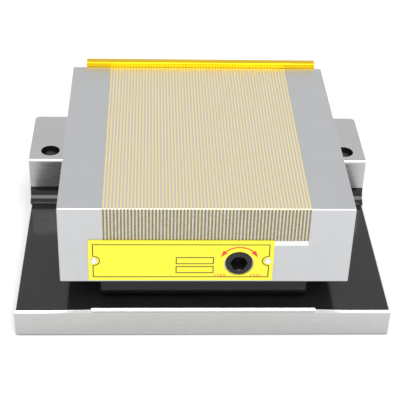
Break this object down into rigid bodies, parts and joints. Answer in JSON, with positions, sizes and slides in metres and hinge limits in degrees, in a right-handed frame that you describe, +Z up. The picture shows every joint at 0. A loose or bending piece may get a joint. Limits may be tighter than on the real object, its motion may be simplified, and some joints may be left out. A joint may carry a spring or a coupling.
{
  "type": "magnetic chuck",
  "caption": "Square permanent magnetic chuck with a fine striped working face, label plate and key socket, tilting on a flat base with two hinge ears and a sine roller.",
  "frame": {"origin": "centre of the base's underside", "axes": "+X to the right seen from the label side, +Y towards the stop rail and hinge ears, +Z up out of the working face"},
  "size_m": [0.2, 0.1632, 0.0847],
  "materials": {
    "base_black": "gloss black coating; ground bright on the front, sides, bevels and ears",
    "ground_shaft": "ground",
    "black_oxide_ear": "black oxide, satin",
    "bronze_washer": "satin bronze",
    "ground_steel": "ground, fine matt grain",
    "machined_steel": "machined",
    "bronze_bush": "satin bronze",
    "black_oxide_barrel": "black oxide, satin",
    "roller_steel": "hardened and ground bright",
    "black_oxide_roller": "black oxide, satin",
    "strip_brass": "ground flush",
    "strip_steel": "ground flush",
    "frame_alloy": "bright",
    "shim_brass": "rolled sheet",
    "key_brass": "milled",
    "carrier_steel": "milled",
    "plate_steel": "ground",
    "magnet_dark": "matt sintered ferrite",
    "cam_black": "black oxide",
    "bronze_cam_bush": "satin bronze",
    "spring_steel": "phosphated",
    "seal_rubber": "black rubber",
    "dowel_steel": "ground",
    "label_yellow": "yellow enamel on thin sheet",
    "rivet_bright": "bright",
    "rail_gold": "gold-yellow, satin",
    "washer_steel": "plain",
    "black_oxide_rail": "black oxide, satin"
  },
  "bodies": {
    "base": {"base_plate": "base_black", "hinge_shaft": "ground_shaft", "ear_screws": "black_oxide_ear", "thrust_washers": "bronze_washer"},
    "chuck": {"chuck_body": "ground_steel", "hinge_barrel": "machined_steel", "hinge_bushes": "bronze_bush", "barrel_screws": "black_oxide_barrel", "sine_roller": "roller_steel", "roller_screws": "black_oxide_roller", "brass_strips": "strip_brass", "steel_strips": "strip_steel", "seat_frame": "frame_alloy", "wear_shim": "shim_brass", "slide_keys": "key_brass", "shaft_bush": "bronze_cam_bush", "stop_pin": "dowel_steel", "label_plate": "label_yellow", "label_rivets": "rivet_bright", "rail_washers": "washer_steel", "rail_screws": "black_oxide_rail"},
    "cam": {"cam_shaft": "cam_black", "shaft_clip": "spring_steel", "shaft_seal": "seal_rubber"},
    "magnet_pack": {"magnet_carrier": "carrier_steel", "flux_plates": "plate_steel", "magnets": "magnet_dark"},
    "rail": {"stop_rail": "rail_gold"}
  },
  "joints": [
    {"name": "chuck_tilt", "type": "hinge", "parent": "base", "child": "chuck", "pos_m": [0, 0.038, 0.0281], "axis": [-1, 0, 0], "range_deg": [0, 30]},
    {"name": "cam_turn", "type": "hinge", "parent": "chuck", "child": "cam", "pos_m": [0.0173, -0.0765, 0.0478], "axis": [0, 1, 0], "range_deg": [-0.5, 180.5]},
    {"name": "pack_slide", "type": "slide", "parent": "chuck", "child": "magnet_pack", "axis": [1, 0, 0], "range_m": [0, 0.00352]},
    {"name": "rail_slide", "type": "slide", "parent": "chuck", "child": "rail", "axis": [0, 0, 1], "range_m": [-0.0042, 0.002]}
  ],
  "couplings": [
    {"joint": "cam_turn", "follows": "pack_slide", "rad_per_m": 892.5}
  ]
}
